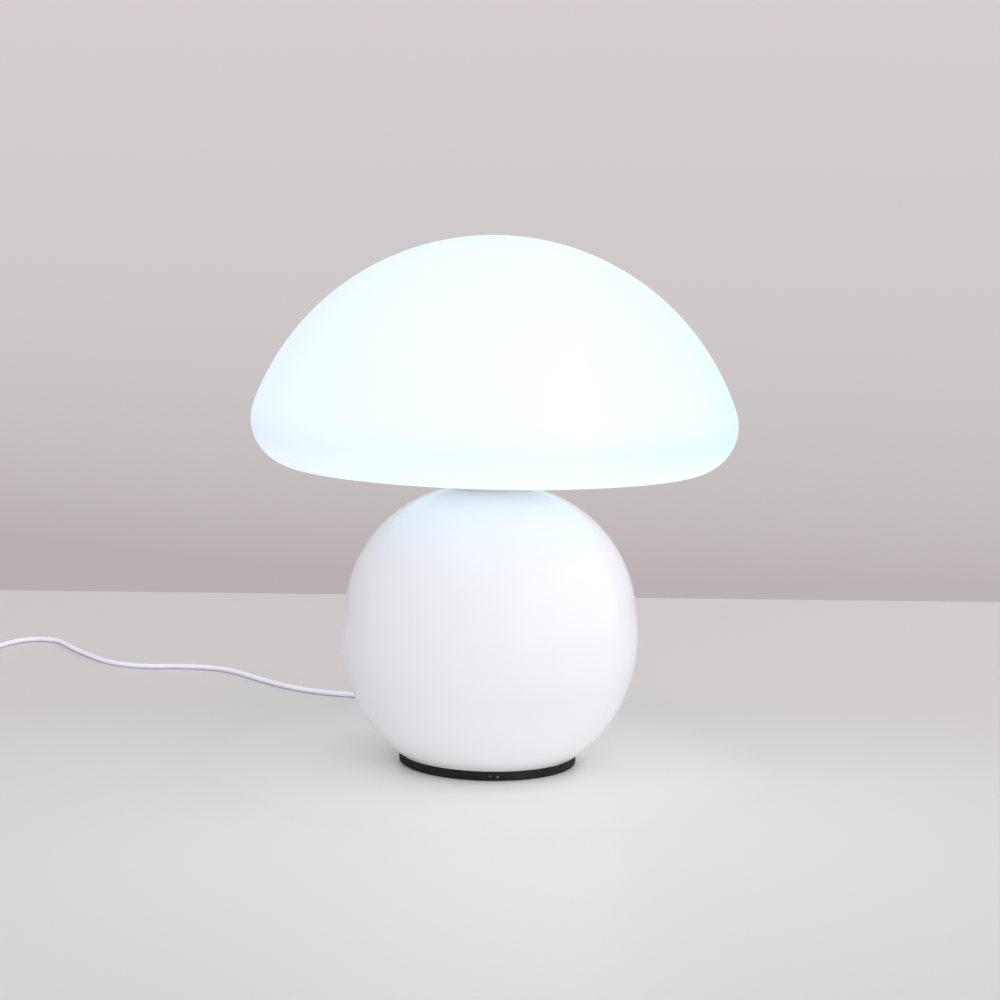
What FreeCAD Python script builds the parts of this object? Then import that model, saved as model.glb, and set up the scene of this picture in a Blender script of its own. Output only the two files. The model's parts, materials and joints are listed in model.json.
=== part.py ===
import FreeCAD, Part
import os
from math import acos, asin, atan2, cos, degrees, pi, radians, sin, sqrt, tan

# Mushroom table lamp: an opal glass dome that lifts off a ceramic globe.
# Millimetres, +Z up. The origin is the centre of the face that rests on the table.
os.makedirs("parts", exist_ok=True)
Vec = FreeCAD.Vector
upward = Vec(0, 0, 1)
origin = Vec(0, 0, 0)

# Clearances
rest_gap = 0.3          # between faces of different bodies that only come close
fit_gap = 0.2           # between a part and the hole or pocket that it drops into
bore_gap = 0.05         # around the lead where a hole is moulded on it

# Foot, globe and weight
foot_radius = 46.2
foot_thickness = 5.0
foot_edge = 1.2         # rounding of the pad's lower edge
globe_radius = 76.9
globe_widest = 60.5     # height of the widest level above the globe's base
belt_radius = 127.0     # slow curve just above the widest level
belt_angle = 10.4
shoulder_radius = 69.5
bowl_radius = 75.0
globe_wall = 4.0
globe_floor = 5.0
globe_opening = 30.0    # radius of the hole in the globe's floor
plate_play = 0.5        # of the steel plate in its pocket
neck_flat = 21.5        # radius of the ground flat round the top hole
top_hole = 7.0
plate_radius = 37.5
plate_thickness = 2.0
cup_radius = 14.0       # inner radius of the cup pressed into the plate
cup_depth = 6.0
weight_radius = 29.0
weight_height = 18.0
weight_bevel = 1.0

# Centre tube and its nuts
tube_radius = 5.0
tube_bore = 4.0
tube_lift = 0.6         # tube's lower end above the pad
tube_chamfer = 0.6
tube_top_reach = 6.0    # tube's length inside the lampholder's cap
nut_flats = 17.0
nut_height = 4.0
washer_radius = 11.0
washer_thickness = 1.2
small_washer_radius = 10.5

# Neck and fitter
gasket_radius = 20.0
gasket_thickness = 0.8
neck_radius = 20.5
neck_height = 6.0
neck_wall = 2.2
neck_bevel = 0.6
dish_radius = 39.0
dish_thickness = 1.2
dish_hem = 0.9          # height of the turned-up edge above the dish
collar_radius = 30.5    # outer radius of the ring that centres the shade
collar_height = 10.0
collar_wall = 1.0
ring_section = 1.8      # radius of the silicone ring's round section
ring_seat_angle = 45.0  # where the glass lip meets the ring

# Opal shade
shade_radius = 125.0
crown_height = 95.0     # from the widest level to the top
rim_radius = 24.0
underside_start = 81.5  # angle below level where the rim ends
underside_radius = 358.0
throat_radius = 33.0
lip_radius = 14.0
glass_wall = 3.2

# Lampholder
holder_radius = 20.0
holder_wall = 1.8
cap_boss = 9.5
cap_boss_height = 3.0
cap_flare = 5.0
cap_band = 3.0
cap_spigot = 3.7
core_thickness = 7.5
skirt_rim_wall = 4.6
skirt_bevel = 0.8
skirt_grooves = 4
groove_start = 5.0      # from the skirt's lower edge to the first groove
groove_width = 1.6
groove_depth = 0.6
groove_pitch = 3.4
liner_gap = 0.7         # radial, so that the sloped flanks stay clear of the bulb's
liner_wall = 0.35
contact_thickness = 0.6
contact_width = 5.0
contact_rise = 0.7
terminal_offset = 9.0
terminal_head = 2.6
terminal_shank = 1.5
terminal_head_height = 1.8
driver_slot = 0.8
driver_slot_depth = 0.7

# Bulb with its threaded cap
bulb_radius = 22.5
bulb_wall = 1.2
thread_radius = 12.65   # mean radius of the rolled thread
thread_depth = 0.55     # crest above the mean radius
thread_pitch = 3.62
thread_turns = 5
bulb_tip_radius = 4.5
bulb_tip_height = 1.3
insulator_height = 3.6
shell_wall = 0.4
cap_collar = 1.6        # plain band above the thread
housing_height = 16.0
housing_wall = 1.5
housing_step = 1.2      # how far the housing stands out over the threaded cap
housing_swell = 1.1     # of its side beyond a straight cone
housing_seam = 12.0     # how far the diffuser's edge lies below its widest level
board_thickness = 1.6
led_count = 10
led_size = 2.8
led_thickness = 0.7
led_circle = 10.5
driver_width = 15.0
driver_height = 12.0
driver_thickness = 1.2

# Lead and cord
cord_radius = 1.5
exit_level = 24.0       # height of the lead's hole above the table
exit_azimuth = 100.0
relief_length = 24.0
relief_flange = 6.5
relief_flange_low = 0.4 # flange's underside, just off the curved skin
relief_flange_thickness = 1.8
relief_fillet = 0.8
relief_shank = 4.3
relief_root = 3.7
relief_tip = 2.3
relief_tail = 3.0       # inner stub behind the wall
grip_radius = 4.6
grip_length = 7.0
lead_bend = 40.0
window_width = 4.4
window_length = 30.0
wire_radius = 0.7
wire_reach = 0.6        # where a wire levels out, as a share of the way to its screw

# In-line switch, in its own frame: cord along X, resting at z = 0
switch_length = 58.0
switch_width = 25.0
switch_end_width = 11.0
switch_lower_height = 7.5
switch_upper_height = 7.5
switch_wall = 1.6
switch_edge = 2.2
rocker_length = 19.0
rocker_width = 9.0
rocker_height = 6.0
rocker_proud = 2.6
rocker_tilt = 7.0
rocker_pin = 1.2
rocker_dip = 0.9        # of its top below the two ends
rocker_draft = 1.0      # how much shorter the foot is at each end
rocker_edge = 0.7
pivot_depth = 1.4       # pin's axis below the roof's underside
ear_length = 7.2        # lugs that carry the pin
ear_height = 3.6
ear_width = 2.4
switch_screw_radius = 1.4
switch_screw_offset = 19.5
switch_screw_reach = 4.0
screw_head_radius = 2.5
screw_head_sink = 0.4
screw_slot = 0.6
screw_slot_depth = 0.5
recess_radius = 2.8
post_radius = 4.0
switch_contact_offset = 6.0
contact_strip_length = 13.3
contact_strip_width = 3.0
contact_post_height = 1.4

# Plug with two round pins, in its own frame: pins towards +X, resting at z = 0
plug_front_width = 33.0
plug_middle_width = 30.6
plug_tail_width = 16.0
plug_thickness = 13.7
plug_length = 36.0
plug_edge = 3.0
pin_radius = 2.0
pin_length = 19.0
pin_sleeve = 10.0
pin_sleeve_radius = 1.9
pin_spacing = 18.6
pin_inset = 8.0
plug_relief_length = 24.0
plug_relief_root = 3.7
plug_relief_tip = 2.4
plug_relief_ribs = 4
plug_groove_depth = 0.8
plug_groove_width = 1.4

# Coil of the length that is put away, and its tie
coil_centre = Vec(-328.0, 92.0, 0)
coil_outer = 21.7       # radius of the outermost turn's middle
coil_pitch = 3.5        # step from one turn to the next, also from layer to layer
coil_layers = 4
coil_layer_turns = 2.5
coil_lift = 0.9         # room below for the tie
coil_start = 170.0      # azimuth where the cord runs into the coil
tie_thickness = 0.6
tie_corner = 1.0
tie_width = 5.0
tie_azimuth = 20.0
tie_gap = 0.15

# Places of the switch and the plug on the table, with the way that the cord runs there
switch_centre = Vec(-338.6, 193.0, 0)
switch_heading = 260.0
plug_centre = Vec(-336.0, -38.0, 0)
plug_heading = 283.0
cord_lead_in = 13.0     # straight approach to the switch, the coil and the plug

# Routes of the free cord, chosen by hand: lamp to switch, switch to coil, coil to plug
run_route = [
    Vec(-21.0, 114.0, cord_radius), Vec(-34.0, 136.0, cord_radius),
    Vec(-60.0, 149.0, cord_radius), Vec(-88.0, 152.0, cord_radius),
    Vec(-116.0, 166.0, cord_radius), Vec(-140.0, 192.0, cord_radius),
    Vec(-163.0, 222.0, cord_radius), Vec(-190.0, 228.0, cord_radius),
    Vec(-217.0, 223.0, cord_radius), Vec(-239.0, 234.0, cord_radius),
    Vec(-258.0, 260.0, cord_radius), Vec(-274.0, 286.0, cord_radius),
    Vec(-284.0, 305.0, cord_radius), Vec(-296.0, 309.5, cord_radius),
    Vec(-308.0, 305.0, cord_radius), Vec(-316.5, 289.0, cord_radius),
    Vec(-323.0, 267.0, cord_radius), Vec(-327.0, 249.0, 4.0),
]
link_route = [Vec(-347.6, 134.0, 3.0), Vec(-348.3, 124.0, cord_radius + coil_lift)]
tail_route = [
    Vec(-354.0, 65.0, 7.5), Vec(-354.5, 48.0, cord_radius), Vec(-352.0, 32.0, cord_radius),
]


def point(radius, level):
    return Vec(radius, 0, level)


def around(centre, radius, angle):
    turn = radians(angle)
    return centre + Vec(radius * cos(turn), 0, radius * sin(turn))


def arc(centre, radius, start, end):
    middle = (start + end) / 2
    curve = Part.Arc(around(centre, radius, start), around(centre, radius, middle),
                     around(centre, radius, end))
    return curve.toShape()


def bow(start, middle, end):
    return Part.Arc(start, middle, end).toShape()


def turned_back(edges):
    return [bow(edge.valueAt(edge.LastParameter),
                edge.valueAt((edge.FirstParameter + edge.LastParameter) / 2),
                edge.valueAt(edge.FirstParameter)) for edge in reversed(edges)]


def joined(pieces):
    """Edges through the points and arcs given, closed by a line back to the first."""
    edges = []
    first = last = None
    for piece in pieces:
        is_point = isinstance(piece, Vec)
        begin = piece if is_point else piece.valueAt(piece.FirstParameter)
        end = piece if is_point else piece.valueAt(piece.LastParameter)
        if last is not None and (begin - last).Length > 1e-6:
            edges.append(Part.makeLine(last, begin))
        if not is_point:
            edges.append(piece)
        first = begin if first is None else first
        last = end
    if (first - last).Length > 1e-6:
        edges.append(Part.makeLine(last, first))
    return edges


def positive(shape):
    solid = shape.Solids[0] if len(shape.Solids) == 1 else shape
    if solid.Volume < 0:
        solid.reverse()
    return solid


def spun(*pieces):
    face = Part.Face(Part.Wire(joined(pieces)))
    return positive(face.revolve(origin, upward, 360))


def ring(inner, outer, low, high):
    return spun(point(inner, low), point(outer, low), point(outer, high), point(inner, high))


def rod(radius, low, high, chamfer=0.0):
    shape = Part.makeCylinder(radius, high - low, Vec(0, 0, low))
    if chamfer:
        ends = [edge for edge in shape.Edges if isinstance(edge.Curve, Part.Circle)]
        shape = shape.makeChamfer(chamfer, ends)
    return shape


def box(size_x, size_y, low, high):
    corner = Vec(-size_x / 2, -size_y / 2, low)
    return Part.makeBox(size_x, size_y, high - low, corner)


def hex_nut(low, height, hole):
    corner = nut_flats / sqrt(3)
    corners = [Vec(corner * cos(k * pi / 3), corner * sin(k * pi / 3), low) for k in range(7)]
    prism = Part.Face(Part.makePolygon(corners)).extrude(Vec(0, 0, height))
    bevel = corner - nut_flats / 2
    barrel = spun(point(0, low), point(nut_flats / 2, low), point(corner, low + bevel / 2),
                  point(corner, low + height - bevel / 2), point(nut_flats / 2, low + height),
                  point(0, low + height))
    return positive(prism.common(barrel).cut(rod(hole, low - 1, low + height + 1)))


def turned_to(shape, azimuth):
    copy = shape.copy()
    copy.rotate(origin, upward, azimuth)
    return copy


def placed(shape, place, heading):
    copy = turned_to(shape, heading)
    copy.translate(place)
    return copy


def save(name, shape):
    shape.exportStep("parts/" + name + ".step")
    print(name, "volume", round(shape.Volume, 1), "valid", shape.isValid())


def heading_of(angle):
    return Vec(cos(radians(angle)), sin(radians(angle)), 0)


def corner_radius(points, index):
    before = points[index] - points[index - 1]
    after = points[index + 1] - points[index]
    turn = before.getAngle(after)
    return 0.45 * min(before.Length, after.Length) / tan(turn / 2), turn


def rounded_route(points, bend=None):
    """Straight runs joined by tangent arcs through a list of points."""
    edges = []
    radii = []
    last = points[0]
    for index in range(1, len(points) - 1):
        radius, turn = corner_radius(points, index)
        if bend is not None:
            radius = bend
        reach = radius * tan(turn / 2)
        before = (points[index] - points[index - 1]).normalize()
        after = (points[index + 1] - points[index]).normalize()
        begin = points[index] - before * reach
        end = points[index] + after * reach
        inward = (after - before).normalize()
        centre = points[index] + inward * (radius / cos(turn / 2))
        middle = centre - inward * radius
        edges.append(Part.LineSegment(last, begin).toShape())
        edges.append(Part.Arc(begin, middle, end).toShape())
        radii.append(radius)
        last = end
    edges.append(Part.LineSegment(last, points[-1]).toShape())
    return Part.Wire(edges), radii


def swept(path, radius):
    start = path.OrderedEdges[0]
    place = start.valueAt(start.FirstParameter)
    tangent = start.tangentAt(start.FirstParameter)
    section = Part.Wire(Part.Edge(Part.Circle(place, tangent, radius)))
    return positive(path.makePipeShell([section], True, False))


def cord_tube(name, points):
    path, radii = rounded_route(points)
    tube = swept(path, cord_radius)
    expected = pi * cord_radius ** 2 * path.Length
    print(name, "radii", [round(radius, 1) for radius in radii], "length", round(path.Length, 1),
          "volume ratio", round(tube.Volume / expected, 4))
    save(name, tube)
    return path.Length


# Globe: bowl arc up to the widest level, belt arc, then shoulder arc to the neck's flat

globe_base = foot_thickness
widest_level = globe_base + globe_widest
belt_centre = point(globe_radius - belt_radius, widest_level)
bowl_centre = point(globe_radius - bowl_radius, widest_level)
shoulder_centre = around(belt_centre, belt_radius - shoulder_radius, belt_angle)


def globe_skin(inset, low, high_radius):
    """Arcs of the globe's wall from the level low up to the radius high_radius."""
    bowl = bowl_radius - inset
    shoulder = shoulder_radius - inset
    low_angle = degrees(asin((low - widest_level) / bowl))
    high_angle = degrees(acos((high_radius - shoulder_centre.x) / shoulder))
    return [arc(bowl_centre, bowl, low_angle, 0),
            arc(belt_centre, belt_radius - inset, 0, belt_angle),
            arc(shoulder_centre, shoulder, belt_angle, high_angle)]


def globe_radius_at(level, inset=0.0):
    rise = level - widest_level
    return bowl_centre.x + sqrt((bowl_radius - inset) ** 2 - rise ** 2)


outer_skin = globe_skin(0, globe_base, neck_flat)
neck_seat = outer_skin[-1].valueAt(outer_skin[-1].LastParameter).z
floor_level = globe_base + globe_floor
plate_pocket = plate_radius + plate_play
pocket_top = globe_base + plate_thickness + fit_gap

exit_tilt = degrees(asin((exit_level - widest_level) / bowl_radius))
exit_radius = globe_radius_at(exit_level)
exit_place = point(exit_radius, exit_level)
exit_way = around(origin, 1, exit_tilt)


def along_exit(shape):
    """Lays a shape spun about Z along the lead's exit, its z = 0 on the globe's skin."""
    copy = shape.copy()
    copy.rotate(origin, Vec(0, 1, 0), 90 - exit_tilt)
    copy.translate(exit_place)
    return turned_to(copy, exit_azimuth)


def base_globe():
    inner_skin = globe_skin(globe_wall, floor_level, top_hole + globe_wall)
    ceiling = inner_skin[-1].valueAt(inner_skin[-1].LastParameter).z
    outer = spun(*outer_skin, point(0, neck_seat), point(0, globe_base))
    hollow = spun(*inner_skin, point(0, ceiling), point(0, floor_level))
    pocket = rod(plate_pocket, globe_base - 1, pocket_top)
    opening = rod(globe_opening, globe_base, floor_level + 1)
    hole = rod(top_hole, ceiling - 1, neck_seat + 1)
    lead_hole = along_exit(rod(relief_shank + fit_gap, -2 * globe_wall, globe_wall))
    return positive(outer.cut(hollow).cut(pocket).cut(opening).cut(hole).cut(lead_hole))


def foot_pad():
    return spun(point(0, 0), point(foot_radius - foot_edge, 0),
                arc(point(foot_radius - foot_edge, foot_edge), foot_edge, -90, 0),
                point(foot_radius, foot_thickness), point(0, foot_thickness))


def bottom_plate():
    low = globe_base
    cup_top = low + cup_depth + plate_thickness
    return spun(point(cup_radius, low), point(plate_radius, low),
                point(plate_radius, low + plate_thickness),
                point(cup_radius + plate_thickness, low + plate_thickness),
                point(cup_radius + plate_thickness, cup_top),
                point(tube_radius + fit_gap, cup_top),
                point(tube_radius + fit_gap, cup_top - plate_thickness),
                point(cup_radius, cup_top - plate_thickness))


weight_low = globe_base + plate_thickness
weight_top = weight_low + weight_height
cup_ceiling = globe_base + cup_depth
tube_low = globe_base + tube_lift
neck_low = neck_seat + gasket_thickness
dish_low = neck_low + neck_height
dish_top = dish_low + dish_thickness
nut_low = dish_top + washer_thickness
holder_low = nut_low + nut_height + fit_gap
tube_top = holder_low + tube_top_reach


def counterweight():
    recess_top = cup_ceiling + plate_thickness + fit_gap
    recess = cup_radius + plate_thickness + fit_gap
    bore = tube_radius + fit_gap
    return spun(point(recess, weight_low), point(weight_radius - weight_bevel, weight_low),
                point(weight_radius, weight_low + weight_bevel),
                point(weight_radius, weight_top - weight_bevel),
                point(weight_radius - weight_bevel, weight_top), point(bore, weight_top),
                point(bore, recess_top), point(recess, recess_top))


lead_corner_level = exit_level - exit_radius * tan(radians(exit_tilt))


def centre_tube():
    tube = rod(tube_radius, tube_low, tube_top, tube_chamfer).cut(
        rod(tube_bore, tube_low - 1, tube_top + 1))
    window = Part.makeBox(2 * tube_radius, window_width, window_length,
                          Vec(0, -window_width / 2, lead_corner_level - window_length / 2))
    return positive(tube.cut(turned_to(window, exit_azimuth)))


def neck_collar():
    inner = neck_radius - neck_wall
    return spun(point(tube_radius + fit_gap, dish_low - neck_wall),
                point(inner, dish_low - neck_wall), point(inner, neck_low),
                point(neck_radius - neck_bevel, neck_low),
                point(neck_radius, neck_low + neck_bevel), point(neck_radius, dish_low),
                point(tube_radius + fit_gap, dish_low))


def fitter_dish():
    hem = dish_thickness
    collar_top = dish_top + collar_height
    inner = collar_radius - collar_wall
    return spun(point(tube_radius + fit_gap, dish_low), point(dish_radius, dish_low),
                point(dish_radius, dish_top + dish_hem),
                point(dish_radius - hem, dish_top + dish_hem),
                point(dish_radius - hem, dish_top), point(collar_radius, dish_top),
                point(collar_radius, collar_top - collar_wall / 2),
                arc(point(collar_radius - collar_wall / 2, collar_top - collar_wall / 2),
                    collar_wall / 2, 0, 180),
                point(inner, dish_top), point(tube_radius + fit_gap, dish_top))


# Shade: crown arc tangent to the rim arc, underside arc, then the lip's arc up the throat

rim_centre_radius = shade_radius - rim_radius
crown_radius = (rim_centre_radius ** 2 + crown_height ** 2 - rim_radius ** 2) / (
    2 * (crown_height - rim_radius))
lip_centre_radius = throat_radius + lip_radius
seat_reach = lip_radius + rest_gap + ring_section
ring_level = dish_top + ring_section
ring_radius = lip_centre_radius - seat_reach * cos(radians(ring_seat_angle))
lip_level = ring_level + seat_reach * sin(radians(ring_seat_angle))
underside_offset = rim_radius - underside_radius
underside_centre_radius = rim_centre_radius + underside_offset * cos(radians(underside_start))
underside_drop = -underside_offset * sin(radians(underside_start))
lip_handover = degrees(acos((lip_centre_radius - underside_centre_radius)
                            / (underside_radius - lip_radius)))
shade_level = lip_level - underside_drop + (underside_radius - lip_radius) * sin(
    radians(lip_handover))


# One piece of glass; it is held as a dome and an underside that meet at the widest level
def shade_arcs(inset):
    rim_centre = point(rim_centre_radius, shade_level)
    crown_centre = point(0, shade_level + crown_height - crown_radius)
    tangency = degrees(atan2(rim_centre.z - crown_centre.z, rim_centre_radius))
    underside_centre = around(rim_centre, underside_offset, -underside_start)
    lip_centre = around(underside_centre, underside_radius - lip_radius, -lip_handover)
    dome = [arc(crown_centre, crown_radius - inset, 90, tangency),
            arc(rim_centre, rim_radius - inset, tangency, 0)]
    underside = [
        arc(rim_centre, rim_radius - inset, 0, -underside_start),
        arc(underside_centre, underside_radius - inset, -underside_start, -lip_handover),
        arc(lip_centre, lip_radius - inset, -lip_handover, -180)]
    return dome, underside


def shade_dome():
    outer, inner = shade_arcs(0)[0], shade_arcs(glass_wall)[0]
    return spun(*outer, *turned_back(inner))


def shade_underside():
    outer, inner = shade_arcs(0)[1], shade_arcs(glass_wall)[1]
    lip_end = arc(around(outer[-1].valueAt(outer[-1].LastParameter), glass_wall / 2, 0),
                  glass_wall / 2, 180, 0)
    return spun(*outer, lip_end, *turned_back(inner))


def seat_ring():
    return Part.makeTorus(ring_radius, ring_section, Vec(0, 0, ring_level))


# Lampholder: cap on the tube, ceramic core, threaded liner and skirt

cap_flare_top = holder_low + cap_boss_height + cap_flare
cap_band_top = cap_flare_top + cap_band
core_low = cap_band_top + cap_spigot + fit_gap
core_top = core_low + core_thickness
core_radius = holder_radius - holder_wall - fit_gap
skirt_mouth = holder_radius - skirt_rim_wall
contact_top = core_top + contact_rise + contact_thickness
bulb_low = contact_top + rest_gap
shell_low = bulb_low + bulb_tip_height + insulator_height
thread_length = thread_turns * thread_pitch
shell_top = shell_low + thread_length + cap_collar
holder_top = shell_top - fit_gap
housing_low = shell_top
housing_top = housing_low + housing_height
bulb_centre = point(0, housing_top + housing_seam)
liner_radius = thread_radius + liner_gap


def thread_waves(radius, depth, low, count):
    """Arcs that bulge out and in by turns, as a rolled lamp thread's section does."""
    half = thread_pitch / 2
    waves = []
    for k in range(2 * count):
        side = depth if k % 2 == 0 else -depth
        level = low + k * half
        waves.append(bow(point(radius, level), point(radius + side, level + half / 2),
                         point(radius, level + half)))
    return waves


def holder_cap():
    spigot = core_radius
    flare_low = holder_low + cap_boss_height
    inner = spigot - holder_wall
    inner_low = flare_low + holder_wall
    return spun(point(tube_radius, holder_low), point(cap_boss, holder_low),
                point(cap_boss, flare_low), point(holder_radius, cap_flare_top),
                point(holder_radius, cap_band_top), point(spigot, cap_band_top),
                point(spigot, cap_band_top + cap_spigot), point(inner, cap_band_top + cap_spigot),
                point(inner, cap_flare_top), point(cap_boss - holder_wall, inner_low),
                point(tube_radius, inner_low))


def holder_core():
    body = ring(0, core_radius, core_low, core_top)
    for side in (-1, 1):
        shank = rod(terminal_shank, core_low - 1, core_low + core_thickness / 2)
        shank.translate(Vec(side * terminal_offset, 0, 0))
        body = body.cut(shank)
    return positive(body)


def holder_skirt():
    low = cap_band_top + fit_gap
    inner = holder_radius - holder_wall
    grooves = []
    for k in range(skirt_grooves):
        level = low + groove_start + k * groove_pitch
        grooves.append(bow(point(holder_radius, level),
                           point(holder_radius - groove_depth, level + groove_width / 2),
                           point(holder_radius, level + groove_width)))
    return spun(point(inner, low), point(holder_radius, low), *grooves,
                point(holder_radius, holder_top - skirt_bevel),
                point(holder_radius - skirt_bevel, holder_top), point(skirt_mouth, holder_top),
                point(skirt_mouth, core_top + fit_gap), point(inner, core_top + fit_gap))


def screw_liner():
    waves = thread_turns - 1
    inner = thread_waves(liner_radius, thread_depth, shell_low, waves)
    outer = thread_waves(liner_radius + liner_wall, thread_depth, shell_low, waves)
    return spun(point(liner_radius, core_top), *inner, *turned_back(outer),
                point(liner_radius + liner_wall, core_top))


def centre_contact():
    half = contact_width / 2
    reach = liner_radius - thread_depth - 2 * rest_gap - contact_thickness
    corners = [Vec(-half, -half, core_top), Vec(reach, -half, core_top),
               Vec(reach, -half, core_top + contact_thickness),
               Vec(half, -half, core_top + contact_thickness),
               Vec(half / 2, -half, contact_top), Vec(-half / 2, -half, contact_top),
               Vec(-half, -half, core_top + contact_thickness), Vec(-half, -half, core_top)]
    return Part.Face(Part.makePolygon(corners)).extrude(Vec(0, contact_width, 0))


def side_contact():
    half = contact_width / 2
    begin = liner_radius + liner_wall + fit_gap
    end = skirt_mouth - fit_gap
    step = core_top + contact_thickness
    corners = [Vec(begin, -half, core_top), Vec(end, -half, core_top), Vec(end, -half, step),
               Vec(begin + contact_thickness, -half, step),
               Vec(begin, -half, step + contact_thickness), Vec(begin, -half, core_top)]
    strip = Part.Face(Part.makePolygon(corners)).extrude(Vec(0, contact_width, 0))
    return turned_to(strip, 90)


def terminal_screws():
    screws = []
    head_low = core_low - terminal_head_height
    for side in (-1, 1):
        head = rod(terminal_head, head_low, core_low)
        shank = rod(terminal_shank, core_low, core_low + core_thickness / 2)
        slot = box(2 * terminal_head + 1, driver_slot, head_low - 1, head_low + driver_slot_depth)
        screw = head.fuse(shank).removeSplitter().cut(slot)
        screw.translate(Vec(side * terminal_offset, 0, 0))
        screws.append(positive(screw))
    return Part.makeCompound(screws)


def bulb_tip():
    dome = Part.makeSphere(bulb_tip_radius, Vec(0, 0, bulb_low + bulb_tip_radius))
    return positive(dome.common(rod(bulb_tip_radius, bulb_low, bulb_low + bulb_tip_height)))


def bulb_insulator():
    low = bulb_low + bulb_tip_height
    narrow = sqrt(bulb_tip_radius ** 2 - (bulb_tip_radius - bulb_tip_height) ** 2)
    wide = thread_radius - thread_depth - 2 * shell_wall
    return spun(point(0, low), point(narrow, low), point(wide, shell_low), point(0, shell_low))


def bulb_cap():
    inner = thread_radius - shell_wall
    collar_low = shell_low + thread_length
    outer_waves = thread_waves(thread_radius, thread_depth, shell_low, thread_turns)
    inner_waves = thread_waves(inner, thread_depth, shell_low, thread_turns)
    return spun(point(thread_radius, shell_low), *outer_waves, point(thread_radius, collar_low),
                point(thread_radius, shell_top), point(inner, shell_top), *turned_back(inner_waves))


def diffuser_radius_at(level, inset=0.0):
    return sqrt((bulb_radius - inset) ** 2 - (level - bulb_centre.z) ** 2)


def bulb_housing():
    wide = diffuser_radius_at(housing_top)
    slim = thread_radius + housing_step
    swell = bow(point(slim, housing_low), point((slim + wide) / 2 + housing_swell,
                (housing_low + housing_top) / 2), point(wide, housing_top))
    shelf = housing_top - board_thickness
    inner = wide - housing_wall
    mouth = thread_radius - housing_wall
    return spun(point(mouth, housing_low), swell, point(inner, housing_top), point(inner, shelf),
                point(inner - housing_wall, shelf), point(mouth, housing_low + housing_wall))


def bulb_diffuser():
    seam = asin(housing_seam / bulb_radius)
    inner_seam = asin(housing_seam / (bulb_radius - bulb_wall))
    outer = arc(bulb_centre, bulb_radius, -degrees(seam), 90)
    inner = arc(bulb_centre, bulb_radius - bulb_wall, 90, -degrees(inner_seam))
    return spun(outer, inner)


def led_board():
    radius = diffuser_radius_at(housing_top) - housing_wall - fit_gap
    return ring(0, radius, housing_top - board_thickness + fit_gap, housing_top)


def led_chips():
    chips = []
    for k in range(led_count):
        chip = box(led_size, led_size, housing_top, housing_top + led_thickness)
        chip.translate(Vec(led_circle, 0, 0))
        chips.append(turned_to(chip, k * 360 / led_count))
    return Part.makeCompound(chips)


def driver_board():
    low = housing_low + fit_gap
    return box(driver_width, driver_thickness, low, low + driver_height)


# Lead: through the strain relief, across the globe and up the tube, then two wires

def strain_relief():
    inner = cord_radius + bore_gap
    back = -globe_wall - relief_tail
    top = relief_flange_low + relief_flange_thickness
    body = spun(point(inner, back), point(relief_shank, back),
                point(relief_shank, relief_flange_low), point(relief_flange, relief_flange_low),
                point(relief_flange, top - relief_fillet),
                point(relief_root + relief_fillet, top),
                point(relief_root, top + relief_fillet),
                point(relief_tip, relief_length), point(inner, relief_length))
    return along_exit(body)


def cord_grip():
    far = -globe_wall - relief_tail - fit_gap
    return along_exit(ring(cord_radius + bore_gap, grip_radius, far - grip_length, far))


def exit_point(distance):
    flat = exit_place + exit_way * distance
    return FreeCAD.Rotation(upward, exit_azimuth).multVec(flat)


def inner_lead():
    corner = Vec(0, 0, lead_corner_level)
    path, radii = rounded_route([exit_point(relief_length), corner, Vec(0, 0, tube_top)], lead_bend)
    print("inner lead bend", [round(radius, 1) for radius in radii], "length", round(path.Length, 1))
    return swept(path, cord_radius)


def holder_wires():
    level = core_low - terminal_head_height - wire_radius - bore_gap
    wires = []
    for side in (-1, 1):
        start = Vec(side * cord_radius / 2, 0, tube_top)
        rise = Vec(start.x, 0, (start.z + level) / 2)
        bend = Vec(side * terminal_offset * wire_reach, 0, level)
        end = Vec(side * terminal_offset, 0, level)
        wires.append(swept(rounded_route([start, rise, bend, end])[0], wire_radius))
    return wires


# In-line switch: two shells, a rocker on pins, contact strips and two screws

switch_height = switch_lower_height + switch_upper_height
switch_roof = switch_height - switch_wall
pivot_level = switch_roof - pivot_depth


def switch_outline(inset, low, high):
    """A lens-shaped prism, widest at the middle, drawn in by inset on all sides."""
    end_x = switch_length / 2 - inset
    end_y = switch_end_width / 2 - inset
    side_y = switch_width / 2 - inset
    right = Part.Arc(Vec(end_x, end_y, low), Vec(0, side_y, low), Vec(-end_x, end_y, low)).toShape()
    left = Part.Arc(Vec(-end_x, -end_y, low), Vec(0, -side_y, low), Vec(end_x, -end_y, low)).toShape()
    face = Part.Face(Part.Wire([right, Part.makeLine(Vec(-end_x, end_y, low), Vec(-end_x, -end_y, low)),
                                left, Part.makeLine(Vec(end_x, -end_y, low), Vec(end_x, end_y, low))]))
    return face.extrude(Vec(0, 0, high - low))


def flat_edges(shape, level):
    return [edge for edge in shape.Edges
            if abs(edge.BoundBox.ZMin - level) < 1e-6 and abs(edge.BoundBox.ZMax - level) < 1e-6]


def at_screws(radius, low, high):
    pair = []
    for side in (-1, 1):
        pair.append(rod(radius, low, high).translated(Vec(side * switch_screw_offset, 0, 0)))
    return pair


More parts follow.
